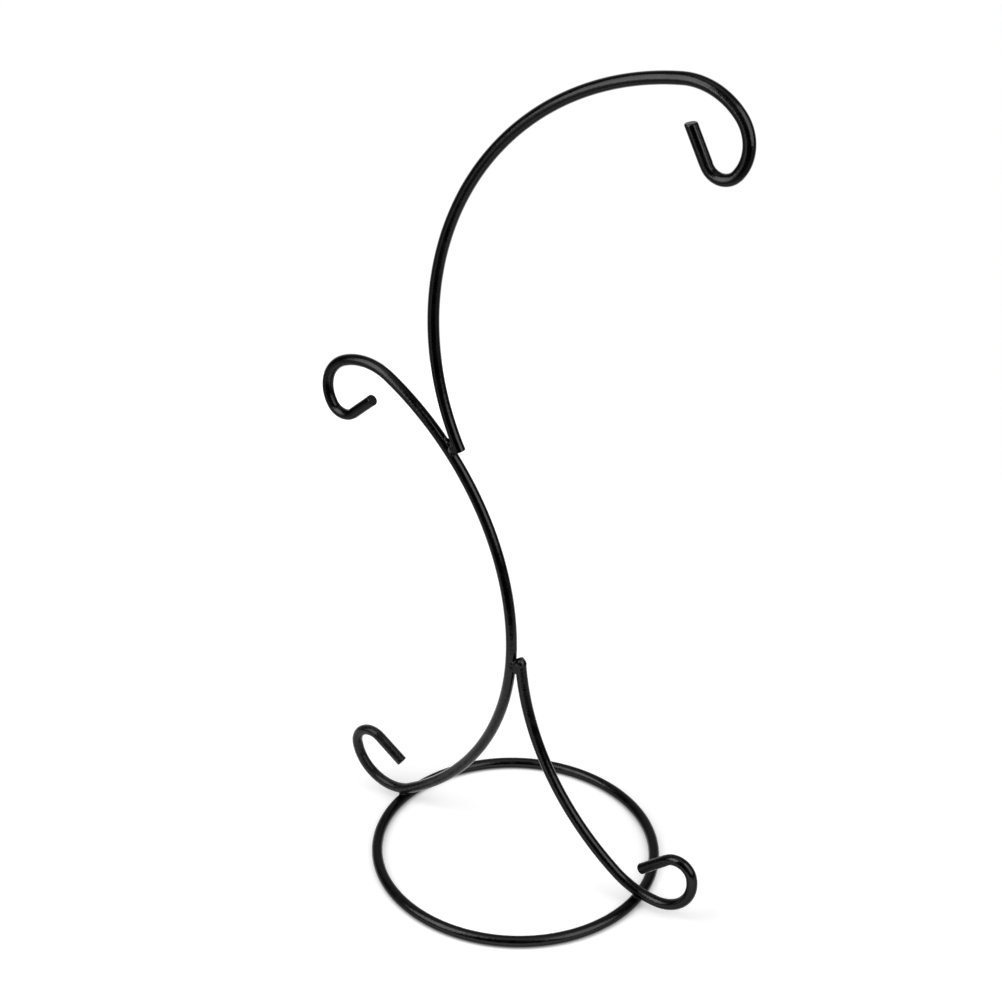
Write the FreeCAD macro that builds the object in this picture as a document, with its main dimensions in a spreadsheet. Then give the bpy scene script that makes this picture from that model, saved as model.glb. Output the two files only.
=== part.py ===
import FreeCAD, Part
import math
import os
import Sketcher

# A small free-standing hanger of scroll work: four bent round wires, welded together.
# Millimetres, +Z up. The origin is the centre of the base ring, on the surface it stands on.
# The stem, the arm and the leg are bent flat, and all three lie in the XZ plane.
# The ring lies flat on the ground and crosses that plane at -X, under the stem, and at +X,
# under the leg. All bend radii are to the wire's centre line, and all turns are in degrees.

SIZES = {
    # the wire, its cut ends and the root gap of its welds
    "wire_diameter": 4.2,
    "end_round": 0.4,
    "weld_gap": 0.1,
    # base ring
    "ring_bend_radius": 53.5,
    "ring_joint_gap": 0.8,
    # main stem, from its inner end at the foot up to its hook
    "stem_tip_length": 13.25,
    "stem_curl_radius": 7.25,
    "stem_curl_turn": 133.5,
    "stem_foot_radius": 17.0,
    "stem_foot_turn": 112.5,
    "stem_foot_slope": 16.4,
    "stem_lower_bow_radius": 97.0,
    "stem_lower_bow_turn": 58.6,
    "stem_upper_bow_radius": 111.5,
    "stem_upper_bow_turn": 59.0,
    "stem_shoulder_radius": 22.0,
    "stem_shoulder_turn": 55.0,
    "stem_hook_radius": 13.0,
    "stem_hook_turn": 97.5,
    "stem_hook_curl_radius": 6.25,
    "stem_hook_curl_turn": 100.0,
    "stem_hook_tip_length": 12.0,
    # top arm, from the tip of its hook back to the stem
    "arm_tip_length": 13.0,
    "arm_curl_radius": 6.25,
    "arm_curl_turn": 113.5,
    "arm_hook_radius": 14.0,
    "arm_hook_turn": 80.5,
    "arm_shoulder_radius": 23.5,
    "arm_shoulder_turn": 54.5,
    "arm_bow_radius": 101.0,
    "arm_bow_turn": 111.27,
    "arm_weld_height": 165.97,
    "arm_splay": 12.64,
    # front leg, from the stem down to its scroll
    "leg_weld_height": 87.0,
    "leg_foot_radius": 30.5,
    "leg_foot_turn": 35.0,
    "leg_foot_slope": 14.3,
    "leg_scroll_radius": 14.0,
    "leg_scroll_turn": 104.5,
    "leg_curl_radius": 6.5,
    "leg_curl_turn": 116.5,
    "leg_tip_length": 13.5,
    # welds along two wires that lie side by side: a row of overlapping puddles
    "puddle_pitch": 1.2,
    "puddle_length": 3.9,
    "puddle_width": 4.1,
    "puddle_depth": 3.4,
    "arm_weld_lift": 3.6,
    "leg_weld_drop": 0.8,
    "leg_cap_height": 2.1,
    # welds where two wires cross: one collar round the point of contact
    "collar_spread": 4.4,
    "collar_height": 2.2,
}

# Positions that follow from the sizes, each written once and used by every piece that needs it.
PLACES = {
    # centre line to centre line of two welded wires
    "wire_pitch": "Sizes.wire_diameter + Sizes.weld_gap",
    # centre of the stem's foot bend, which rests on the ring's wire
    "stem_foot_reach": "Sizes.stem_foot_radius + wire_pitch",
    "stem_foot_x": "-Sizes.ring_bend_radius - stem_foot_reach * sin(Sizes.stem_foot_slope * 1deg)",
    "stem_foot_z": "Sizes.wire_diameter / 2 + stem_foot_reach * cos(Sizes.stem_foot_slope * 1deg)",
    # the stem's widest point, upright, where its two bows meet
    "bow_step": "Sizes.stem_lower_bow_radius - Sizes.stem_foot_radius",
    "bow_z": "stem_foot_z + bow_step * sin(Sizes.stem_lower_bow_turn * 1deg)",
    "lower_bow_x": "stem_foot_x - bow_step * cos(Sizes.stem_lower_bow_turn * 1deg)",
    "upper_bow_x": "lower_bow_x + Sizes.stem_lower_bow_radius - Sizes.stem_upper_bow_radius",
    # the arm's lower end, beside the upper bow: its angle above the bow's centre, and its place
    "arm_reach": "Sizes.stem_upper_bow_radius + wire_pitch",
    "arm_weld_angle": "asin((Sizes.arm_weld_height - bow_z) / arm_reach) / 1deg",
    "arm_end_x": "upper_bow_x + arm_reach * cos(arm_weld_angle * 1deg)",
    "arm_bow_angle": "arm_weld_angle - Sizes.arm_splay",
    "arm_bow_z": "Sizes.arm_weld_height + Sizes.arm_bow_radius * sin(arm_bow_angle * 1deg)",
    # the leg's upper end, beside the lower bow
    "leg_reach": "Sizes.stem_lower_bow_radius + wire_pitch",
    "leg_weld_angle": "asin((Sizes.leg_weld_height - bow_z) / leg_reach) / 1deg",
    "leg_end_x": "lower_bow_x + leg_reach * cos(leg_weld_angle * 1deg)",
    # centre of the leg's foot bend, which rests on the ring's wire
    "leg_foot_reach": "Sizes.leg_foot_radius + wire_pitch",
    "leg_foot_x": "Sizes.ring_bend_radius + leg_foot_reach * sin(Sizes.leg_foot_slope * 1deg)",
    "leg_foot_z": "Sizes.wire_diameter / 2 + leg_foot_reach * cos(Sizes.leg_foot_slope * 1deg)",
    # the part of a full turn that the ring leaves open for its butt weld
    "ring_joint_angle": "Sizes.ring_joint_gap / Sizes.ring_bend_radius * 180 / pi",
}

PUDDLES = 3
UPRIGHT = 90.0

doc = FreeCAD.newDocument("hanging_stand")


def fill_sheet():
    """The driving dimensions: one row each, with its name as its alias."""
    sheet = doc.addObject("Spreadsheet::Sheet", "Sizes")
    for row, (name, value) in enumerate(SIZES.items(), start=1):
        sheet.set(f"A{row}", name)
        sheet.set(f"B{row}", str(value))
        sheet.setAlias(f"B{row}", name)
    doc.recompute()
    return sheet


def fill_places():
    """The derived positions, each computed by the document from the sheet."""
    places = doc.addObject("App::VarSet", "Places")
    for name, formula in PLACES.items():
        places.addProperty("App::PropertyFloat", name, "Places")
        places.setExpression(name, formula)
    doc.recompute()
    return places


sizes = fill_sheet()
places = fill_places()


def origin_plane(body, role):
    """One of a body's own origin planes."""
    return next(f for f in body.Origin.OriginFeatures if f.Role == role)


def new_sketch(body, name, role):
    """A sketch on one of its own body's origin planes."""
    sketch = body.newObject("Sketcher::SketchObject", name)
    sketch.AttachmentSupport = [(origin_plane(body, role), "")]
    sketch.MapMode = "FlatFace"
    return sketch


def bind(sketch, constraint, name, formula):
    """Adds a named constraint whose value comes from the document."""
    index = sketch.addConstraint(constraint)
    sketch.renameConstraint(index, name)
    sketch.setExpression(f"Constraints.{name}", formula)


def ahead(point, heading, distance):
    """The point that far along a heading in the sketch, in degrees from its X axis."""
    angle = math.radians(heading)
    return point + FreeCAD.Vector(math.cos(angle), math.sin(angle), 0) * distance


def chain(start, heading, steps):
    """Curves laid end to end from start. A step with a turn is a bend to the left."""
    curves = []
    for size, turn in steps:
        if turn is None:
            end = ahead(start, heading, size)
            curves.append(Part.LineSegment(start, end))
        else:
            centre = ahead(start, heading + UPRIGHT, size)
            circle = Part.Circle(centre, FreeCAD.Vector(0, 0, 1), size)
            first = math.radians(heading - UPRIGHT)
            curves.append(Part.ArcOfCircle(circle, first, first + math.radians(turn)))
            heading += turn
            end = ahead(centre, heading - UPRIGHT, size)
        start = end
    return curves


def named_steps(names):
    """The steps of a chain whose lengths, or radii and turns, are cells of the sheet."""
    steps = []
    for name in names:
        if f"{name}_length" in SIZES:
            steps.append((getattr(sizes, f"{name}_length"), None))
        else:
            steps.append((getattr(sizes, f"{name}_radius"), getattr(sizes, f"{name}_turn")))
    return steps


def draw_chain(sketch, names, curves):
    """Draws the curves, tangent to each other, and binds the named ones to the sheet."""
    for index, (name, curve) in enumerate(zip(names, curves)):
        sketch.addGeometry(curve)
        if index:
            sketch.addConstraint(Sketcher.Constraint("Tangent", index - 1, 2, index, 1))
        if f"{name}_length" in SIZES:
            length = Sketcher.Constraint("Distance", index, curve.length())
            bind(sketch, length, f"{name}_length", f"Sizes.{name}_length")
        elif f"{name}_radius" in SIZES:
            radius = Sketcher.Constraint("Radius", index, curve.Radius)
            bind(sketch, radius, f"{name}_radius", f"Sizes.{name}_radius")
            turn = Sketcher.Constraint("Angle", index, curve.LastParameter - curve.FirstParameter)
            bind(sketch, turn, f"{name}_turn", f"Sizes.{name}_turn * 1deg")


def pin_point(sketch, name, geometry, point, x_formula, z_formula, at):
    """Holds one point of a curve at a derived place. Either formula may be None."""
    if x_formula:
        across = Sketcher.Constraint("DistanceX", -1, 1, geometry, point, at.x)
        bind(sketch, across, f"{name}_x", x_formula)
    if z_formula:
        up = Sketcher.Constraint("DistanceY", -1, 1, geometry, point, at.y)
        bind(sketch, up, f"{name}_z", z_formula)


def circle_section(sketch, centre):
    """The wire's round section."""
    sketch.addGeometry(Part.Circle(centre, FreeCAD.Vector(0, 0, 1), sizes.wire_diameter / 2))
    diameter = Sketcher.Constraint("Diameter", 0, sizes.wire_diameter)
    bind(sketch, diameter, "wire_diameter", "Sizes.wire_diameter")


def sweep_wire(body, spine):
    """The wire itself, swept along its centre line, with its cut ends rounded over."""
    section = body.newObject("Sketcher::SketchObject", "Section")
    section.AttachmentSupport = [(spine, "Edge1")]
    section.MapMode = "NormalToEdge"
    circle_section(section, FreeCAD.Vector(0, 0, 0))
    section.addConstraint(Sketcher.Constraint("Coincident", -1, 1, 0, 3))
    pipe = body.newObject("PartDesign::AdditivePipe", "Wire")
    pipe.Profile = section
    pipe.Spine = (spine, [])
    doc.recompute()
    cut_faces = [f for f in pipe.Shape.Faces if isinstance(f.Surface, Part.Plane)]
    rims = [
        f"Edge{number}"
        for number, edge in enumerate(pipe.Shape.Edges, start=1)
        if any(edge.isSame(rim) for face in cut_faces for rim in face.Edges)
    ]
    rounding = body.newObject("PartDesign::Fillet", "CutEnds")
    rounding.Base = (pipe, rims)
    rounding.setExpression("Radius", "Sizes.end_round")
    doc.recompute()
    return body


def make_stem():
    """The main stem: a scroll foot, a long bow in two bends and a curled hook on top."""
    names = ["stem_tip", "stem_curl", "stem_foot", "stem_lower_bow", "stem_upper_bow"]
    names += ["stem_shoulder", "stem_hook", "stem_hook_curl", "stem_hook_tip"]
    foot, lower_bow = names.index("stem_foot"), names.index("stem_lower_bow")
    below = [sizes.stem_curl_turn, sizes.stem_foot_turn, sizes.stem_lower_bow_turn]
    heading = UPRIGHT - sum(below)
    steps = named_steps(names)
    foot_centre = FreeCAD.Vector(places.stem_foot_x, places.stem_foot_z, 0)
    start = foot_centre - chain(FreeCAD.Vector(), heading, steps)[foot].Center
    body = doc.addObject("PartDesign::Body", "main_stem")
    spine = new_sketch(body, "CentreLine", "XZ_Plane")
    draw_chain(spine, names, chain(start, heading, steps))
    spine.addConstraint(Sketcher.Constraint("Horizontal", lower_bow, 3, lower_bow, 2))
    pin_point(spine, "foot", foot, 3, "Places.stem_foot_x", "Places.stem_foot_z", foot_centre)
    return sweep_wire(body, spine)


def make_arm():
    """The top arm: one long bow that ends in the hook from which the load hangs."""
    names = ["arm_tip", "arm_curl", "arm_hook", "arm_shoulder", "arm_bow"]
    bow = names.index("arm_bow")
    turns = [sizes.arm_curl_turn, sizes.arm_hook_turn, sizes.arm_shoulder_turn, sizes.arm_bow_turn]
    heading = places.arm_bow_angle - UPRIGHT - sum(turns)
    steps = named_steps(names)
    end = FreeCAD.Vector(places.arm_end_x, sizes.arm_weld_height, 0)
    start = end - chain(FreeCAD.Vector(), heading, steps)[bow].EndPoint
    curves = chain(start, heading, steps)
    body = doc.addObject("PartDesign::Body", "top_arm")
    spine = new_sketch(body, "CentreLine", "XZ_Plane")
    draw_chain(spine, names, curves)
    pin_point(spine, "end", bow, 2, "Places.arm_end_x", "Sizes.arm_weld_height", end)
    pin_point(spine, "bow", bow, 3, None, "Places.arm_bow_z", curves[bow].Center)
    return sweep_wire(body, spine)


def make_leg():
    """The front leg: one free bend from the stem that runs into the foot bend, then a scroll."""
    names = ["leg_bend", "leg_foot", "leg_scroll", "leg_curl", "leg_tip"]
    bend, foot = names.index("leg_bend"), names.index("leg_foot")
    foot_heading = -sizes.leg_foot_turn
    foot_centre = FreeCAD.Vector(places.leg_foot_x, places.leg_foot_z, 0)
    foot_start = ahead(foot_centre, foot_heading - UPRIGHT, sizes.leg_foot_radius)
    top = FreeCAD.Vector(places.leg_end_x, sizes.leg_weld_height, 0)
    # the one bend that leaves the stem at its weld and meets the foot bend along its tangent
    inward = ahead(FreeCAD.Vector(), foot_heading + UPRIGHT, 1.0)
    chord = top - foot_start
    radius = chord.Length**2 / (2 * chord.dot(inward))
    turn = 2 * math.degrees(math.asin(chord.Length / (2 * radius)))
    steps = [(radius, turn)] + named_steps(names[1:])
    body = doc.addObject("PartDesign::Body", "front_leg")
    spine = new_sketch(body, "CentreLine", "XZ_Plane")
    draw_chain(spine, names, chain(top, foot_heading - turn, steps))
    spine.addConstraint(Sketcher.Constraint("Vertical", foot, 3, foot, 2))
    pin_point(spine, "top", bend, 1, "Places.leg_end_x", "Sizes.leg_weld_height", top)
    pin_point(spine, "foot", foot, 3, "Places.leg_foot_x", "Places.leg_foot_z", foot_centre)
    return sweep_wire(body, spine)


def make_ring_piece(name, side, angle_formula):
    """Part of the ring: the wire's section on one side of it, turned equally both ways."""
    body = doc.addObject("PartDesign::Body", name)
    section = new_sketch(body, "Section", "XZ_Plane")
    centre = FreeCAD.Vector(side * sizes.ring_bend_radius, sizes.wire_diameter / 2, 0)
    circle_section(section, centre)
    across = f"{side} * Sizes.ring_bend_radius"
    pin_point(section, "section", 0, 3, across, "Sizes.wire_diameter / 2", centre)
    turned = body.newObject("PartDesign::Revolution", "Turned")
    turned.Profile = section
    turned.ReferenceAxis = (section, ["V_Axis"])
    turned.Midplane = True
    turned.setExpression("Angle", angle_formula)
    doc.recompute()
    return body


def weld_metal(name, spread, lean_formula, x_formula, z_formula):
    """One ellipsoid of weld metal. Its spread is its size along the lean, across Y and over it."""
    metal = doc.addObject("Part::Ellipsoid", name)
    for radius, size in zip(("Radius2", "Radius3", "Radius1"), spread):
        metal.setExpression(radius, f"({size}) / 2")
    turn = f"rotation(vector(0; 1; 0); -({lean_formula}))"
    place = f"vector({x_formula}; 0; {z_formula})"
    metal.setExpression("Placement", f"placement({place}; {turn})")
    return metal


def fuse(name, pieces):
    """Several lots of weld metal run into one."""
    joined = doc.addObject("Part::MultiFuse", name)
    joined.Shapes = pieces
    return joined


def seat_weld(name, metal, wires):
    """Weld metal that fills only the room between the wires it joins."""
    for number, wire in enumerate(wires, start=1):
        last = number == len(wires)
        seated = doc.addObject("Part::Cut", name if last else f"{name}_step_{number}")
        seated.Base = metal
        seated.Tool = wire
        metal = seated
    return metal


def side_weld(name, angle, centre_x, reach, shift, wires, extra):
    """A row of puddles between two wires that lie side by side on one bow of the stem."""
    spread = ["Sizes.puddle_depth", "Sizes.puddle_width", "Sizes.puddle_length"]
    out = f"({reach} - Places.wire_pitch / 2)"
    puddles = []
    for number in range(PUDDLES):
        along = f"({shift} + {number - (PUDDLES - 1) / 2} * Sizes.puddle_pitch)"
        x_formula = f"{centre_x} + {out} * cos({angle} * 1deg) - {along} * sin({angle} * 1deg)"
        z_formula = f"Places.bow_z + {out} * sin({angle} * 1deg) + {along} * cos({angle} * 1deg)"
        lean = f"{angle} * 1deg"
        puddles.append(weld_metal(f"{name}_puddle_{number}", spread, lean, x_formula, z_formula))
    return seat_weld(name, fuse(f"{name}_metal", puddles + extra), wires)


def cross_weld(name, side, slope, wires):
    """A collar of weld metal round the point where a wire crosses on top of the ring."""
    spread = ["Sizes.collar_spread", "Sizes.collar_spread", "Sizes.collar_height"]
    x_formula = f"{side} * (Sizes.ring_bend_radius + Places.wire_pitch / 2 * sin({slope} * 1deg))"
    z_formula = f"Sizes.wire_diameter / 2 + Places.wire_pitch / 2 * cos({slope} * 1deg)"
    lean = f"{-side} * {slope} * 1deg"
    metal = weld_metal(f"{name}_metal", spread, lean, x_formula, z_formula)
    return seat_weld(name, metal, wires)


def make_welds(ring, butt, stem, arm, leg):
    """The four welds that hold the wires together."""
    cap_width = "Sizes.wire_diameter"
    cap_spread = [cap_width, cap_width, "2 * Sizes.leg_cap_height"]
    cap = weld_metal(
        "leg_stem_weld_cap", cap_spread, "0deg", "Places.leg_end_x", "Sizes.leg_weld_height"
    )
    arm_place = ["Places.arm_weld_angle", "Places.upper_bow_x", "Places.arm_reach"]
    leg_place = ["Places.leg_weld_angle", "Places.lower_bow_x", "Places.leg_reach"]
    return [
        side_weld("arm_stem_weld", *arm_place, "Sizes.arm_weld_lift", [stem, arm], []),
        side_weld("leg_stem_weld", *leg_place, "-Sizes.leg_weld_drop", [stem, leg], [cap]),
        cross_weld("stem_ring_weld", -1, "Sizes.stem_foot_slope", [ring, butt, stem]),
        cross_weld("leg_ring_weld", 1, "Sizes.leg_foot_slope", [ring, leg]),
    ]


def check_and_write(nodes):
    """Stops at the first failed feature or unsound solid, then writes one STEP file per piece."""
    doc.recompute()
    for item in doc.Objects:
        if "Invalid" in item.State or "Error" in item.State:
            raise RuntimeError(f"{item.Name} failed: {item.State}")
    for node in nodes:
        if node.Shape.isNull() or not node.Shape.isValid():
            raise RuntimeError(f"{node.Name} has no sound shape")
        node.Label = node.Name
    os.makedirs("parts", exist_ok=True)
    for node in nodes:
        node.Shape.exportStep(f"parts/{node.Label}.step")
        box = node.Shape.BoundBox
        size = f"{box.XLength:.1f} x {box.YLength:.1f} x {box.ZLength:.1f}"
        print(f"{node.Label}: {len(node.Shape.Solids)} solid, {size}, {node.Shape.Volume:.1f} mm3")


base_ring = make_ring_piece("base_ring", 1, "360 - Places.ring_joint_angle")
ring_butt_weld = make_ring_piece("ring_butt_weld", -1, "Places.ring_joint_angle")
main_stem = make_stem()
top_arm = make_arm()
front_leg = make_leg()
welds = make_welds(base_ring, ring_butt_weld, main_stem, top_arm, front_leg)
check_and_write([base_ring, ring_butt_weld, main_stem, top_arm, front_leg, *welds])
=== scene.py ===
import math

import bmesh
import bpy
import numpy as np
from mathutils import Matrix, Vector, noise


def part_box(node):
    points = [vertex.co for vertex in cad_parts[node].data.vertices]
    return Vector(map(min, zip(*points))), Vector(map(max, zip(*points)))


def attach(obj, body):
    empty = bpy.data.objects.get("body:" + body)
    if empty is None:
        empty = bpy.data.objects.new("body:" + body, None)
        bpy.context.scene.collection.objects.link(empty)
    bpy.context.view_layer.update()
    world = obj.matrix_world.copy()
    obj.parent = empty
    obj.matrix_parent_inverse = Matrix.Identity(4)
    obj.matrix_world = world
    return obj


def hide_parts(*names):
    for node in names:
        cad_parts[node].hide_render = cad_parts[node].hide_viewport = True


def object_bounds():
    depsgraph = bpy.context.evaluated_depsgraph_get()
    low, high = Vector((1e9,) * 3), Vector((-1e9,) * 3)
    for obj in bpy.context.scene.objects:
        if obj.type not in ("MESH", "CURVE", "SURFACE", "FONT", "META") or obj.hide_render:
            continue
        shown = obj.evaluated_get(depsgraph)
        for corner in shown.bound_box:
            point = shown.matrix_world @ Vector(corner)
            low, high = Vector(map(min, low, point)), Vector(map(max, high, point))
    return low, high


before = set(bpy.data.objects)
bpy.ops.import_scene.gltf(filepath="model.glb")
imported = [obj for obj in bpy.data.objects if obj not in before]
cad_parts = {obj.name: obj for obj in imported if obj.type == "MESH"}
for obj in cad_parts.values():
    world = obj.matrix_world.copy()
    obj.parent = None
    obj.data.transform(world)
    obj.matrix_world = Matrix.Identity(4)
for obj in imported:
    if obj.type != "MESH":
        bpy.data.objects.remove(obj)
cad_low, cad_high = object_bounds()

# Metres, and degrees unless a comment says otherwise. The stem, the arm and the leg lie in the
# XZ plane, and -Y is the front.
MM = 0.001
FRONT = Vector((0, -1, 0))
UP = Vector((0, 0, 1))
BODY = "root"

ring_low, ring_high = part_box("base_ring")
WIRE_RADIUS = (ring_high.z - ring_low.z) / 2
RING_RADIUS = (ring_high.x - ring_low.x) / 2 - WIRE_RADIUS

# Each wire is a list of bends, (centre line radius, turn), and straights, (length, None), laid
# end to end from the heading of its first one. All turns are to the left, seen from the front.
# They are the bends of the CAD model's wires.
STEM_HEADING = -214.6
STEM_BENDS = [
    (13.25 * MM, None),
    (7.25 * MM, 133.5),
    (17.0 * MM, 112.5),
    (97.0 * MM, 58.6),
    (111.5 * MM, 59.0),
    (22.0 * MM, 55.0),
    (13.0 * MM, 97.5),
    (6.25 * MM, 100.0),
    (12.0 * MM, None),
]
ARM_HEADING = -61.945
ARM_BENDS = [
    (13.0 * MM, None),
    (6.25 * MM, 113.5),
    (14.0 * MM, 80.5),
    (23.5 * MM, 54.5),
    (101.0 * MM, 111.27),
]
LEG_HEADING = -84.330
LEG_BENDS = [
    (105.729 * MM, 49.330),
    (30.5 * MM, 35.0),
    (14.0 * MM, 104.5),
    (6.5 * MM, 116.5),
    (13.5 * MM, None),
]

# The mesh of a wire, with a ring of vertices at each station along it
SIDES = 40
STATION_STEP = 0.7 * MM
STATION_TURN = 2.5
RING_STATIONS = 720
END_ROUND = 0.4 * MM
END_ROUND_STEPS = 5
# a cut end's face: how far out its rings are, how rough it is, and the slope of its shallow dish
END_FACE_SHARES = (0.86, 0.66, 0.44, 0.2)
END_FACE_ROUGHNESS = 0.07 * MM
END_FACE_WAVE = 1.1 * MM
END_DISH = 1.6
# a cut as (how much longer the wire's end is, slope of the cut), blended in along the wire
CUT_BLEND = 3.0 * MM
STRAIGHT_CUT = (0.0, Vector())
ARM_CUT = (0.55 * MM, Vector((-0.242, 0.065, -0.13)))
# cold bending squeezes a round wire a little: this share of its radius on a bend of one wire radius
BEND_SQUEEZE = 0.12
ENAMEL_WAVE = 0.02 * MM
ENAMEL_WAVE_LENGTH = 7.0 * MM


class Chain:
    """The centre line of a bent wire, followed from one end to the other."""

    def __init__(self, heading, bends):
        self.parts = []
        self.length = 0.0
        point, angle = Vector(), math.radians(heading)
        for size, turn in bends:
            self.parts.append((self.length, point.copy(), angle, size, turn))
            length = size if turn is None else size * math.radians(turn)
            point, angle, _ = self.along(self.parts[-1], length)
            self.length += length

    @staticmethod
    def along(part, distance):
        """Point, heading and bend radius (None on a straight) at a distance into one part."""
        _, start, angle, size, turn = part
        if turn is None:
            return start + heading_vector(angle) * distance, angle, None
        centre = start + left_of(angle) * size
        angle += distance / size
        return centre - left_of(angle) * size, angle, size

    def at(self, distance):
        part = next(p for p in reversed(self.parts) if p[0] <= max(distance, 0.0))
        return self.along(part, distance - part[0])

    def spots(self):
        """Distances of the mesh's stations, closer together on tight bends and at the cut ends."""
        found = []
        for start, _, _, size, turn in self.parts:
            length = size if turn is None else size * math.radians(turn)
            steps = math.ceil(length / STATION_STEP)
            if turn is not None:
                steps = max(steps, math.ceil(turn / STATION_TURN))
            found += [start + length * k / steps for k in range(steps)]
        inner = [s for s in found if END_ROUND < s < self.length - END_ROUND]
        rim = [END_ROUND * (1 - math.cos(a)) for a in rim_angles()]
        return rim + inner + [self.length - s for s in reversed(rim)]

    def move(self, shift):
        self.parts = [(s, p + shift, *rest) for s, p, *rest in self.parts]

    def nearest(self, node):
        """Heading where the chain passes closest to the middle of a CAD node's box."""
        middle = sum(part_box(node), Vector()) / 2
        spot = min(self.spots(), key=lambda s: (self.at(s)[0] - middle).length)
        return self.at(spot)[1]


def heading_vector(angle):
    return Vector((math.cos(angle), 0, math.sin(angle)))


def left_of(angle):
    return Vector((-math.sin(angle), 0, math.cos(angle)))


def rim_angles():
    """Angles round the rounded rim of a cut end, from its flat face to the wire's side."""
    return [math.pi / 2 * k / END_ROUND_STEPS for k in range(END_ROUND_STEPS + 1)]


def seat(chain, node, x_side, z_side):
    """Moves a chain so that its outermost bends touch two sides of its CAD node's box."""
    low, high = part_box(node)
    points = [chain.at(s)[0] for s in chain.spots()]
    shift = Vector()
    for axis, side in ((0, x_side), (2, z_side)):
        reach = max if side > 0 else min
        wall = (high if side > 0 else low)[axis] - side * WIRE_RADIUS
        shift[axis] = wall - reach(p[axis] for p in points)
    chain.move(shift)
    return chain


def wave(point, length, seed):
    """Smooth noise from 0 to 1, with bumps of about that length."""
    shifted = point / length + Vector((seed, seed * 0.37, -seed * 0.71))
    return 0.5 + 0.5 * noise.noise(shifted)


def section(point, across, out, radius, squeeze, seed):
    """One ring of a wire's skin. Its radius is at most the wire's own."""
    ring = []
    for k in range(SIDES):
        angle = 2 * math.pi * k / SIDES
        direction = across * math.cos(angle) + out * math.sin(angle)
        reach = radius * (1 - squeeze * math.cos(angle) ** 2)
        reach -= ENAMEL_WAVE * wave(point + direction * radius, ENAMEL_WAVE_LENGTH, seed)
        ring.append(point + direction * reach)
    return ring


def bridge(rings, closed):
    """Quads between rings of SIDES vertices each."""
    faces = []
    for r in range(len(rings) if closed else len(rings) - 1):
        a, b = r * SIDES, (r + 1) % len(rings) * SIDES
        for k in range(SIDES):
            n = (k + 1) % SIDES
            faces.append((a + k, b + k, b + n, a + n))
    return faces


def end_face(rim, outward, seed):
    """Rings and a centre point that close a wire's cut end: a shallow dish, a little rough."""
    centre = sum(rim, Vector()) / len(rim)
    lean = math.tan(math.radians(END_DISH))
    rings = []
    for share in END_FACE_SHARES:
        ring = []
        for point in rim:
            spot = centre.lerp(point, share)
            depth = END_FACE_ROUGHNESS * wave(spot, END_FACE_WAVE, seed) * (1 - share**4)
            depth += lean * (spot - centre).length * (1 - share)
            ring.append(spot - outward * depth)
        rings.append(ring)
    return rings, centre - outward * END_FACE_ROUGHNESS


def new_piece(name, vertices, faces, material, nodes):
    """A smooth-shaded mesh piece that rides on the body in place of its CAD nodes."""
    mesh = bpy.data.meshes.new(name)
    mesh.from_pydata(vertices, [], faces)
    mesh.validate()
    mesh.polygons.foreach_set("use_smooth", [True] * len(mesh.polygons))
    mesh.materials.append(material)
    piece = bpy.data.objects.new(name, mesh)
    bpy.context.scene.collection.objects.link(piece)
    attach(piece, BODY)
    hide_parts(*nodes)
    return piece


def sheared(ring, point, from_end, outward, cut):
    """A ring near a cut end, drawn out and slanted as the cut says."""
    more, slope = cut
    share = max(0.0, 1 - from_end / CUT_BLEND) ** 2
    return [v + outward * share * (more + slope.dot(v - point)) for v in ring]


def bent_wire(name, chain, material, node, seed, cut=STRAIGHT_CUT):
    """A wire with two cut ends, bent along a chain. The cut is that of its first end."""
    rings = []
    for distance in chain.spots():
        point, angle, bend = chain.at(distance)
        from_end = min(distance, chain.length - distance, END_ROUND)
        sunk = END_ROUND - math.sqrt(END_ROUND**2 - (END_ROUND - from_end) ** 2)
        squeeze = BEND_SQUEEZE * WIRE_RADIUS / bend if bend else 0.0
        across = left_of(angle)
        ring = section(point, across, -FRONT, WIRE_RADIUS - sunk, squeeze, seed)
        rings.append(sheared(ring, point, distance, -heading_vector(angle), cut))
    start_rings, start_centre = end_face(rings[0], -heading_vector(chain.at(0)[1]), seed)
    end_rings, end_centre = end_face(rings[-1], heading_vector(chain.at(chain.length)[1]), seed + 1)
    rings = start_rings[::-1] + rings + end_rings
    faces = bridge(rings, closed=False)
    vertices = [v for ring in rings for v in ring] + [start_centre, end_centre]
    tail = (len(rings) - 1) * SIDES
    for k in range(SIDES):
        n = (k + 1) % SIDES
        faces.append((len(vertices) - 2, k, n))
        faces.append((len(vertices) - 1, tail + n, tail + k))
    piece = new_piece(name, vertices, faces, material, [node])
    piece.data.materials.append(cut_enamel)
    # the first and the last quads, and the triangles after them, are the two cut faces
    cap = len(END_FACE_SHARES) * SIDES
    quads = (len(rings) - 1) * SIDES
    for number, face in enumerate(piece.data.polygons):
        if number < cap or number >= quads - cap:
            face.material_index = 1


def ring_wire(name, material, nodes, seed):
    """The closed base ring, with its butt weld ground flush."""
    rings = []
    squeeze = BEND_SQUEEZE * WIRE_RADIUS / RING_RADIUS
    for k in range(RING_STATIONS):
        angle = 2 * math.pi * k / RING_STATIONS
        across = Vector((math.cos(angle), math.sin(angle), 0))
        point = across * RING_RADIUS + UP * WIRE_RADIUS
        rings.append(section(point, across, UP, WIRE_RADIUS, squeeze, seed))
    vertices = [v for ring in rings for v in ring]
    new_piece(name, vertices, bridge(rings, closed=True), material, nodes)


# Materials

ENAMEL_IOR = 1.42
# The film is duller at a glancing angle: 1 - cosine of the angle, and the specular level there.
GLANCE = (0.1, 0.4)
GLANCE_LEVEL = (0.5, 0.09)
# It is bright again at its very edge.
EDGE = (0.55, 0.8)
EDGE_LEVEL = 0.32
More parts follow.
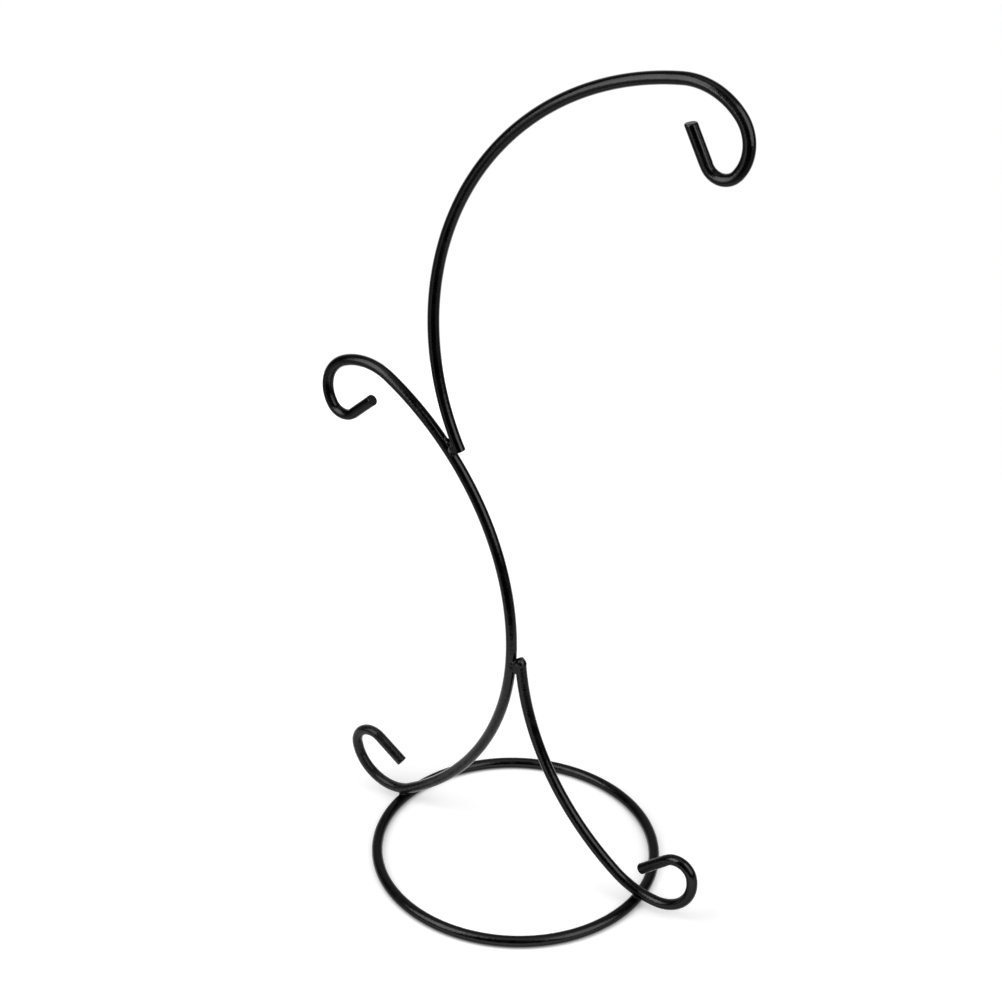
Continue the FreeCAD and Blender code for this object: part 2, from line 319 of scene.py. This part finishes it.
# The stem's foot is paler and evenly glossed: wholly so up to the first height, and
# less and less up to the second, by this power of the way down.
FOOT_HEIGHTS = (72 * MM, 100 * MM)
FOOT_FADE = 2.0
FOOT_ROUGHNESS = 0.2
FOOT_TONES = (0.003, 0.018)
FOOT_LEVEL = 0.27
# Noises keep near their middle: this part of their range is stretched to a full one. Each has a
# size and a detail.
NOISE_SPREAD = (0.35, 0.65)
TONE_NOISE = (9.0 * MM, 3.0)
GLOSS_NOISE = (4.0 * MM, 8.0)
FOOT_TONE_NOISE = (1.2 * MM, 4.0)
GRIT_NOISE = (0.25 * MM, 2.0)
PEEL_DETAIL = 1.0
# Each coat has its range of tone, its range of roughness, the size and depth of its orange peel,
# and the depth of its grit.
WIRE_COAT = ((0.0003, 0.001), (0.13, 0.28), 0.9 * MM, 0.05 * MM, 0.007 * MM)
# the cut faces are paler: thin paint on the cut steel, and partly a painted highlight for a cut
# end's bright rim
CUT_COAT = ((0.006, 0.024), (0.25, 0.45), 0.7 * MM, 0.08 * MM, 0.01 * MM)
WELD_COAT = ((0.0005, 0.002), (0.2, 0.34), 0.6 * MM, 0.02 * MM, 0.006 * MM)


def new_material(name):
    material = bpy.data.materials.new(name)
    material.use_nodes = True
    material.node_tree.nodes.clear()
    return material


def add_node(tree, kind, **settings):
    node = tree.nodes.new(kind)
    for key, value in settings.items():
        setattr(node, key, value)
    return node


def noise_node(tree, size, detail):
    """A noise with bumps of about that size, fixed to the object."""
    place = add_node(tree, "ShaderNodeTexCoord")
    texture = add_node(tree, "ShaderNodeTexNoise")
    texture.inputs["Scale"].default_value = 1 / size
    texture.inputs["Detail"].default_value = detail
    tree.links.new(place.outputs["Object"], texture.inputs["Vector"])
    return texture.outputs["Fac"]


def ranged(tree, source, low, high, to_low, to_high):
    """A value mapped from one range to another."""
    scaled = add_node(tree, "ShaderNodeMapRange", clamp=True)
    values = (low, high, to_low, to_high)
    for name, value in zip(("From Min", "From Max", "To Min", "To Max"), values):
        scaled.inputs[name].default_value = value
    tree.links.new(source, scaled.inputs["Value"])
    return scaled.outputs["Result"]


def noise_between(tree, size, detail, low, high):
    """A noise that wanders over the whole range between two values."""
    return ranged(tree, noise_node(tree, size, detail), *NOISE_SPREAD, low, high)


def math_node(tree, operation, a, b):
    """The result of a sum on two values, each a socket or a number."""
    node = add_node(tree, "ShaderNodeMath", operation=operation)
    for socket, value in zip(node.inputs, (a, b)):
        if isinstance(value, (int, float)):
            socket.default_value = value
        else:
            tree.links.new(value, socket)
    return node.outputs[0]


def below_heights(tree, source, foot_heights, value):
    """A value that turns into another, a socket or a number, below two heights: wholly so up to
    the first, and not at all from the second up."""
    place = add_node(tree, "ShaderNodeTexCoord")
    parts = add_node(tree, "ShaderNodeSeparateXYZ")
    tree.links.new(place.outputs["Object"], parts.inputs[0])
    share = math_node(tree, "POWER", ranged(tree, parts.outputs["Z"], *foot_heights, 1, 0), FOOT_FADE)
    mix = add_node(tree, "ShaderNodeMix", data_type="FLOAT")
    if isinstance(value, (int, float)):
        mix.inputs[3].default_value = value
    else:
        tree.links.new(value, mix.inputs[3])
    tree.links.new(share, mix.inputs["Factor"])
    tree.links.new(source, mix.inputs[2])
    return mix.outputs[0]


def enamel(name, coat, foot_heights=None):
    """Semi-gloss black enamel: mottled tone, uneven gloss, orange peel and fine grit.
    With foot_heights, two heights, it is paler and evenly glossed below them."""
    tones, roughness, peel_size, peel_depth, grit_depth = coat
    material = new_material(name)
    tree = material.node_tree
    shader = add_node(tree, "ShaderNodeBsdfPrincipled")
    output = add_node(tree, "ShaderNodeOutputMaterial")
    tree.links.new(shader.outputs["BSDF"], output.inputs["Surface"])
    shader.inputs["IOR"].default_value = ENAMEL_IOR
    # for a viewer that takes the socket's own value: the level seen face on
    shader.inputs["Specular IOR Level"].default_value = GLANCE_LEVEL[0]
    tone = noise_between(tree, *TONE_NOISE, *tones)
    gloss = noise_between(tree, *GLOSS_NOISE, *roughness)
    if foot_heights:
        tone = below_heights(tree, tone, foot_heights, noise_between(tree, *FOOT_TONE_NOISE, *FOOT_TONES))
        gloss = below_heights(tree, gloss, foot_heights, FOOT_ROUGHNESS)
    tree.links.new(tone, shader.inputs["Base Color"])
    tree.links.new(gloss, shader.inputs["Roughness"])
    facing = add_node(tree, "ShaderNodeLayerWeight")
    level = ranged(tree, facing.outputs["Facing"], *GLANCE, *GLANCE_LEVEL)
    if foot_heights:
        level = below_heights(tree, level, foot_heights, FOOT_LEVEL)
    edge = ranged(tree, facing.outputs["Facing"], *EDGE, 0, EDGE_LEVEL)
    tree.links.new(math_node(tree, "ADD", level, edge), shader.inputs["Specular IOR Level"])
    peel = add_node(tree, "ShaderNodeBump")
    peel.inputs["Distance"].default_value = peel_depth
    tree.links.new(noise_node(tree, peel_size, PEEL_DETAIL), peel.inputs["Height"])
    grit = add_node(tree, "ShaderNodeBump")
    grit.inputs["Distance"].default_value = grit_depth
    tree.links.new(noise_node(tree, *GRIT_NOISE), grit.inputs["Height"])
    tree.links.new(peel.outputs["Normal"], grit.inputs["Normal"])
    tree.links.new(grit.outputs["Normal"], shader.inputs["Normal"])
    return material


wire_enamel = enamel("wire_enamel", WIRE_COAT)
stem_enamel = enamel("stem_enamel", WIRE_COAT, FOOT_HEIGHTS)
cut_enamel = enamel("cut_enamel", CUT_COAT)
weld_enamel = enamel("weld_enamel", WELD_COAT)


# Wires

stem = seat(Chain(STEM_HEADING, STEM_BENDS), "main_stem", -1, -1)
arm = seat(Chain(ARM_HEADING, ARM_BENDS), "top_arm", -1, 1)
leg = seat(Chain(LEG_HEADING, LEG_BENDS), "front_leg", 1, -1)
bent_wire("stem_wire", stem, stem_enamel, "main_stem", 1)
bent_wire("arm_wire", arm, wire_enamel, "top_arm", 3, ARM_CUT)
bent_wire("leg_wire", leg, wire_enamel, "front_leg", 5)
ring_wire("ring_wire", wire_enamel, ["base_ring", "ring_butt_weld"], 7)


# Welds: painted-over metal, as the surface of a distance field round the wires that it joins

NET_STEP = 0.12 * MM
NET_SETTLES = 3
SLOPE_STEP = 0.02 * MM
LEAST_SLOPE = 0.25
BLOB_BLEND = 0.7 * MM
# weld metal thinner than the toe stays inside the wires, and all of it is sunk by a hair
WELD_TOE = 0.07 * MM
WELD_SINK = 0.03 * MM
WELD_LUMP = 0.09 * MM
WELD_LUMP_SIZE = 1.9 * MM
WELD_LUMP_WAVES = 7
FULL_LUMP_DEPTH = 0.4 * MM
WINDOW_EDGE = 0.35
TINY = 1e-12


def wire_field(chain):
    """Distance outside a bent wire with flat ends, as a function of points."""

    def field(points):
        nearest = np.full(len(points), np.inf)
        for number, (_, start, angle, size, turn) in enumerate(chain.parts):
            offset = points[:, ::2] - (start.x, start.z)
            if turn is None:
                length = size
                along = offset @ (math.cos(angle), math.sin(angle))
            else:
                length = size * math.radians(turn)
                offset = offset - (-size * math.sin(angle), size * math.cos(angle))
                swing = np.arctan2(offset[:, 1], offset[:, 0]) + math.pi / 2 - angle
                lag = math.pi - length / size / 2
                along = size * ((swing + lag) % (2 * math.pi) - lag)
            starts, ends = number == 0, number == len(chain.parts) - 1
            held = np.clip(along, -np.inf if starts else 0, np.inf if ends else length)
            if turn is None:
                near = held[:, None] * (math.cos(angle), math.sin(angle))
            else:
                swing = angle + held / size
                near = size * np.stack([np.sin(swing), -np.cos(swing)], axis=1)
            gap = np.hypot(np.linalg.norm(offset - near, axis=1), points[:, 1]) - WIRE_RADIUS
            if starts:
                gap = np.maximum(gap, -along)
            if ends:
                gap = np.maximum(gap, along - length)
            nearest = np.minimum(nearest, gap)
        return nearest

    return field


def ring_field(points):
    across = np.hypot(points[:, 0], points[:, 1]) - RING_RADIUS
    return np.hypot(across, points[:, 2] - WIRE_RADIUS) - WIRE_RADIUS


def smooth_step(share):
    held = np.clip(share, 0, 1)
    return held * held * (3 - 2 * held)


def smooth_union(first, second, blend):
    """The nearer of two surfaces, with a fillet where they meet."""
    overlap = np.maximum(blend - np.abs(first - second), 0)
    return np.minimum(first, second) - overlap**2 / (4 * blend + TINY)


def ellipsoid(local, centre, radii):
    """Nearly the distance outside an ellipsoid."""
    scaled = (local - centre) / radii
    size = np.linalg.norm(scaled, axis=1)
    return size * (size - 1) / (np.linalg.norm(scaled / radii, axis=1) + TINY)


def lumps(points, seed):
    """Smooth uneven lumps from about -1 to 1: waves in fixed directions, added up."""
    draw = np.random.default_rng(seed)
    directions = draw.normal(size=(WELD_LUMP_WAVES, 3))
    directions /= np.linalg.norm(directions, axis=1)[:, None]
    phases = draw.uniform(0, 2 * math.pi, WELD_LUMP_WAVES)
    waves = np.sin(points @ directions.T * (2 * math.pi / WELD_LUMP_SIZE) + phases)
    return waves.sum(axis=1) / math.sqrt(WELD_LUMP_WAVES / 2)


def surface_net(field, corner, axes, counts):
    """Quads on the surface where a field changes sign: one vertex in each grid cell it crosses."""
    grid = np.stack(np.meshgrid(*map(np.arange, counts), indexing="ij"), axis=-1)
    places = corner + grid.reshape(-1, 3) * NET_STEP @ axes
    values = field(places).reshape(counts)
    rim = np.pad(np.zeros([n - 2 for n in counts], bool), 1, constant_values=True)
    values[rim] = np.abs(values[rim]) + TINY
    total = np.zeros([n - 1 for n in counts] + [3])
    hits = np.zeros([n - 1 for n in counts])
    quads = []
    for axis in range(3):
        near, far = np.delete(values, -1, axis), np.delete(values, 0, axis)
        edges = np.argwhere((near < 0) != (far < 0))
        ends = near[tuple(edges.T)], far[tuple(edges.T)]
        spots = edges.astype(float)
        spots[:, axis] += ends[0] / (ends[0] - ends[1])
        cells = []
        for shift in ((1, 1), (0, 1), (0, 0), (1, 0)):
            cell = edges.copy()
            cell[:, (axis + 1) % 3] -= shift[0]
            cell[:, (axis + 2) % 3] -= shift[1]
            np.add.at(total, tuple(cell.T), spots)
            np.add.at(hits, tuple(cell.T), 1)
            cells.append(cell)
        cells = np.stack(cells, axis=1)
        cells[ends[0] >= 0] = cells[ends[0] >= 0][:, ::-1]
        quads.append(cells)
    used = hits > 0
    numbers = np.zeros(hits.shape, int)
    numbers[used] = np.arange(used.sum())
    vertices = corner + total[used] / hits[used][:, None] * NET_STEP @ axes
    quads = np.concatenate(quads)
    return vertices, numbers[quads[..., 0], quads[..., 1], quads[..., 2]]


def settled(field, vertices):
    """Vertices moved onto the field's surface along its slope."""
    for _ in range(NET_SETTLES):
        rises = [field(vertices + step) - field(vertices - step) for step in SLOPE_STEP * np.eye(3)]
        slope = np.stack(rises, axis=1) / (2 * SLOPE_STEP)
        step = field(vertices) / np.maximum((slope**2).sum(axis=1), LEAST_SLOPE)
        move = slope * step[:, None]
        length = np.linalg.norm(move, axis=1) + TINY
        vertices = vertices - move * np.minimum(1, NET_STEP / 2 / length)[:, None]
    return vertices


def weld_bead(name, node, upward, reach, skins, fillet, blobs, seed):
    """Weld metal between two wires: a fillet, and blobs run into it and into the wires.
    In mm from the middle of the CAD node, (up, front, out): reach is half the size of the grid,
    fillet is its size, then the middle and half the length of the room it fills, and a blob is
    its middle and its radii."""
    low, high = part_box(node)
    middle = (low + high) / 2
    axes = np.array([upward, FRONT, upward.cross(FRONT).normalized()])
    size, *room = fillet

    def metal(points):
        local = (points - middle) @ axes.T
        first, second = (skin(points) for skin in skins)
        share = np.linalg.norm((local - np.array(room[0]) * MM) / (np.array(room[1]) * MM), axis=1)
        body = smooth_union(first, second, size * MM * smooth_step((1 - share) / WINDOW_EDGE))
        for centre, radii in blobs:
            blob = ellipsoid(local, np.array(centre) * MM, np.array(radii) * MM)
            body = smooth_union(body, blob, BLOB_BLEND)
        bare = np.minimum(first, second)
        depth = np.clip((bare - body) / FULL_LUMP_DEPTH, 0, 1)
        body = body + WELD_LUMP * lumps(points, seed) * depth
        hidden = 1 - smooth_step((bare - body) / WELD_TOE)
        return body + WELD_SINK + WIRE_RADIUS * hidden

    reach = np.array(reach) * MM
    counts = [int(2 * r / NET_STEP) for r in reach]
    corner = np.array(middle) - reach @ axes
    vertices, quads = surface_net(metal, corner, axes, counts)
    vertices = settled(metal, vertices)
    new_piece(name, vertices.tolist(), quads.tolist(), weld_enamel, [node])


arm_up = heading_vector(stem.nearest("arm_stem_weld"))
leg_up = heading_vector(stem.nearest("leg_stem_weld"))
stem_skin, arm_skin, leg_skin = wire_field(stem), wire_field(arm), wire_field(leg)
weld_bead(
    "arm_weld_bead",
    "arm_stem_weld",
    arm_up,
    (5.5, 3.2, 6.0),
    (stem_skin, arm_skin),
    (2.8, (0.0, 0.0, 0.5), (3.9, 8.0, 8.0)),
    [
        ((1.3, 1.0, 0.35), (2.4, 0.98, 0.85)),
        ((-0.9, 0.4, 0.9), (2.2, 1.3, 1.7)),
        ((-2.5, 1.3, -0.9), (1.0, 0.66, 0.75)),
    ],
    11,
)
weld_bead(
    "leg_weld_bead",
    "leg_stem_weld",
    leg_up,
    (5.0, 3.2, 5.0),
    (stem_skin, leg_skin),
    (3.4, (-1.3, 0.0, -1.5), (3.1, 8.0, 8.0)),
    [
        ((0.98, 0.0, 0.33), (2.15, 2.07, 2.07)),
        ((-0.2, 0.95, -1.05), (1.6, 1.15, 1.1)),
        ((-1.35, 1.7, -2.65), (0.35, 0.4, 0.35)),
    ],
    17,
)
weld_bead(
    "stem_foot_bead",
    "stem_ring_weld",
    UP,
    (3.2, 6.0, 5.0),
    (ring_field, stem_skin),
    (1.3, (0.0, 0.0, 0.0), (3.2, 3.2, 3.2)),
    [],
    23,
)
weld_bead(
    "leg_foot_bead",
    "leg_ring_weld",
    UP,
    (3.2, 6.0, 5.0),
    (ring_field, leg_skin),
    (1.3, (0.0, 0.0, 0.0), (3.2, 3.2, 3.2)),
    [],
    29,
)


# Studio

# azimuth, elevation, distance, width, height, radiance
KEY_LAMP = (-29.3, 34.4, 0.474, 0.377, 0.524, 3.65)
SIDE_LAMP = (87.3, 30.1, 0.686, 0.571, 0.74, 2.61)

# behind the object as the camera sees it
BACKDROP_AZIMUTH = 212.0

FLOOR_RADIUS = 0.305
FLOOR_SHIFT = 0.15
FLOOR_SEGMENTS = 128
FLOOR_TONE = 0.9
# what the floor lacks to be white, at its middle and far out, and where that is
FLOOR_LIFT = (0.34, 0.95)
FLOOR_LIFT_REACH = (0.1, 0.45)
# painted contact shade: near the wires, ambient occlusion darkens the floor's colour and its lift
PAINTED_SHADE_REACH = 1.1 * MM
PAINTED_SHADE_POWER = 0.5

# The world's strength: a part everywhere, and parts that come in over a range of the sine of the
# elevation or of the cosine of the angle to a direction.
ROOM = 0.004
ROOM_BACK = 0.3
BACK_RANGE = (0.0, 0.8)
ROOM_TOP = 0.88
TOP_RANGE = (0.85, 1.0)
ROOM_LOW = 0.41
LOW_RANGE = (-0.25, -0.1)
DARK_AZIMUTH = 29.0
DARK_RANGE = (0.465, 0.718)
SPILL = 0.8
SPILL_TOWARD = (-26.0, -12.0)
SPILL_RANGE = (0.955, 0.995)
BACKDROP_RANGE = (0.45, 0.9)


def azimuth_vector(azimuth, elevation):
    """Direction from the object. Azimuth 0 is the front, -Y, and 90 is +X."""
    a, e = math.radians(azimuth), math.radians(elevation)
    return Vector((math.sin(a) * math.cos(e), -math.cos(a) * math.cos(e), math.sin(e)))


def softbox(name, azimuth, elevation, distance, width, height, radiance):
    """A rectangular lamp that faces the middle of the object."""
    lamp = bpy.data.lights.new(name, "AREA")
    lamp.shape = "RECTANGLE"
    lamp.size = width
    lamp.size_y = height
    lamp.energy = radiance * math.pi * width * height
    light = bpy.data.objects.new(name, lamp)
    direction = azimuth_vector(azimuth, elevation)
    light.location = (cad_low + cad_high) / 2 + direction * distance
    light.rotation_mode = "QUATERNION"
    light.rotation_quaternion = direction.to_track_quat("Z", "Y")
    light.visible_camera = False
    bpy.context.scene.collection.objects.link(light)


def rays_seen(tree):
    """Whether a ray comes from the camera, and whether from gloss or through something clear."""
    rays = add_node(tree, "ShaderNodeLightPath").outputs
    mirrored = math_node(tree, "MAXIMUM", rays["Is Glossy Ray"], rays["Is Transmission Ray"])
    return rays["Is Camera Ray"], mirrored


def cosine_to(tree, place, direction):
    """Cosine of the angle between where the world is looked at and a direction."""
    cosine = add_node(tree, "ShaderNodeVectorMath", operation="DOT_PRODUCT")
    cosine.inputs[1].default_value = direction
    tree.links.new(place, cosine.inputs[0])
    return cosine.outputs["Value"]


def make_floor():
    """A round pale table top that keeps the object's shadow. The camera and the object's gloss
    see it lifted to white. Near the wires ambient occlusion darkens it, a painted contact shade."""
    disc = bmesh.new()
    shift = Matrix.Translation(azimuth_vector(BACKDROP_AZIMUTH, 0) * FLOOR_SHIFT)
    bmesh.ops.create_circle(
        disc, cap_ends=True, segments=FLOOR_SEGMENTS, radius=FLOOR_RADIUS, matrix=shift
    )
    mesh = bpy.data.meshes.new("studio_floor")
    disc.to_mesh(mesh)
    disc.free()
    floor = bpy.data.objects.new("studio_floor", mesh)
    bpy.context.scene.collection.objects.link(floor)
    material = new_material("floor_paper")
    tree = material.node_tree
    paper = add_node(tree, "ShaderNodeBsdfDiffuse")
    seen = math_node(tree, "MAXIMUM", *rays_seen(tree))
    # painted contact shade: ambient occlusion near the wires darkens the floor's colour and lift
    contact = add_node(tree, "ShaderNodeAmbientOcclusion")
    contact.inputs["Distance"].default_value = PAINTED_SHADE_REACH
    painted_shade_factor = math_node(tree, "POWER", contact.outputs["AO"], PAINTED_SHADE_POWER)
    tree.links.new(math_node(tree, "MULTIPLY", painted_shade_factor, FLOOR_TONE), paper.inputs["Color"])
    lift = add_node(tree, "ShaderNodeEmission")
    place = add_node(tree, "ShaderNodeTexCoord")
    away = add_node(tree, "ShaderNodeVectorMath", operation="LENGTH")
    tree.links.new(place.outputs["Object"], away.inputs[0])
    lack = ranged(tree, away.outputs["Value"], *FLOOR_LIFT_REACH, *FLOOR_LIFT)
    glow = math_node(tree, "MULTIPLY", seen, lack)
    tree.links.new(math_node(tree, "MULTIPLY", glow, painted_shade_factor), lift.inputs["Strength"])
    both = add_node(tree, "ShaderNodeAddShader")
    tree.links.new(paper.outputs[0], both.inputs[0])
    tree.links.new(lift.outputs[0], both.inputs[1])
    output = add_node(tree, "ShaderNodeOutputMaterial")
    tree.links.new(both.outputs[0], output.inputs["Surface"])
    mesh.materials.append(material)


def make_world():
    """White to the camera, and behind the object to its gloss too. The rest is a dim room that
    is paler behind, overhead and, except in front, below the horizon, with a spill of light
    low on the key lamp's side."""
    world = bpy.data.worlds.new("studio")
    bpy.context.scene.world = world
    world.use_nodes = True
    tree = world.node_tree
    tree.nodes.clear()
    place = add_node(tree, "ShaderNodeTexCoord").outputs["Generated"]
    parts = add_node(tree, "ShaderNodeSeparateXYZ")
    tree.links.new(place, parts.inputs[0])
    height = parts.outputs["Z"]
    behind = cosine_to(tree, place, azimuth_vector(BACKDROP_AZIMUTH, 0))
    ahead = cosine_to(tree, place, azimuth_vector(DARK_AZIMUTH, 0))
    toward_spill = cosine_to(tree, place, azimuth_vector(*SPILL_TOWARD))
    back = ranged(tree, behind, *BACK_RANGE, 0.0, ROOM_BACK)
    top = ranged(tree, height, *TOP_RANGE, 0.0, ROOM_TOP)
    low = ranged(tree, height, *LOW_RANGE, ROOM_LOW, 0.0)
    beside = ranged(tree, ahead, *DARK_RANGE, 1.0, 0.0)
    spill = ranged(tree, toward_spill, *SPILL_RANGE, 0.0, SPILL)
    room = math_node(tree, "ADD", math_node(tree, "ADD", back, top), ROOM)
    room = math_node(tree, "ADD", room, math_node(tree, "MULTIPLY", low, beside))
    room = math_node(tree, "ADD", room, spill)
    camera_ray, mirrored = rays_seen(tree)
    white_behind = ranged(tree, behind, *BACKDROP_RANGE, 0.0, 1.0)
    backdrop = math_node(tree, "MULTIPLY", white_behind, mirrored)
    seen = math_node(tree, "MAXIMUM", camera_ray, backdrop)
    strength = add_node(tree, "ShaderNodeMix", data_type="FLOAT")
    tree.links.new(seen, strength.inputs["Factor"])
    tree.links.new(room, strength.inputs[2])
    strength.inputs[3].default_value = 1.0
    sky = add_node(tree, "ShaderNodeBackground")
    sky.inputs["Color"].default_value = (1, 1, 1, 1)
    tree.links.new(strength.outputs[0], sky.inputs["Strength"])
    output = add_node(tree, "ShaderNodeOutputWorld")
    tree.links.new(sky.outputs[0], output.inputs["Surface"])


make_floor()
make_world()
softbox("key_softbox", *KEY_LAMP)
softbox("side_softbox", *SIDE_LAMP)


# Camera: the photograph's own viewpoint, from a fit of all four wires

CAMERA_AZIMUTH = 32.946
CAMERA_ELEVATION = 28.934
CAMERA_DISTANCE = 659.46 * MM
CAMERA_AIM = Vector((-10.07, 0, 151.77)) * MM
CAMERA_ROLL = 1.202
CAMERA_LENS = 67.42
CAMERA_SENSOR = 36.0
CAMERA_CLIP = (0.01, 20.0)


def make_camera():
    data = bpy.data.cameras.new("camera")
    data.lens = CAMERA_LENS
    data.sensor_fit = "HORIZONTAL"
    data.sensor_width = CAMERA_SENSOR
    data.clip_start, data.clip_end = CAMERA_CLIP
    camera = bpy.data.objects.new("camera", data)
    back = azimuth_vector(CAMERA_AZIMUTH, CAMERA_ELEVATION)
    camera.location = CAMERA_AIM + back * CAMERA_DISTANCE
    roll = Matrix.Rotation(math.radians(CAMERA_ROLL), 3, "Z").to_quaternion()
    camera.rotation_mode = "QUATERNION"
    camera.rotation_quaternion = back.to_track_quat("Z", "Y") @ roll
    bpy.context.scene.collection.objects.link(camera)
    bpy.context.scene.camera = camera


make_camera()
bpy.context.scene.view_settings.view_transform = "Standard"
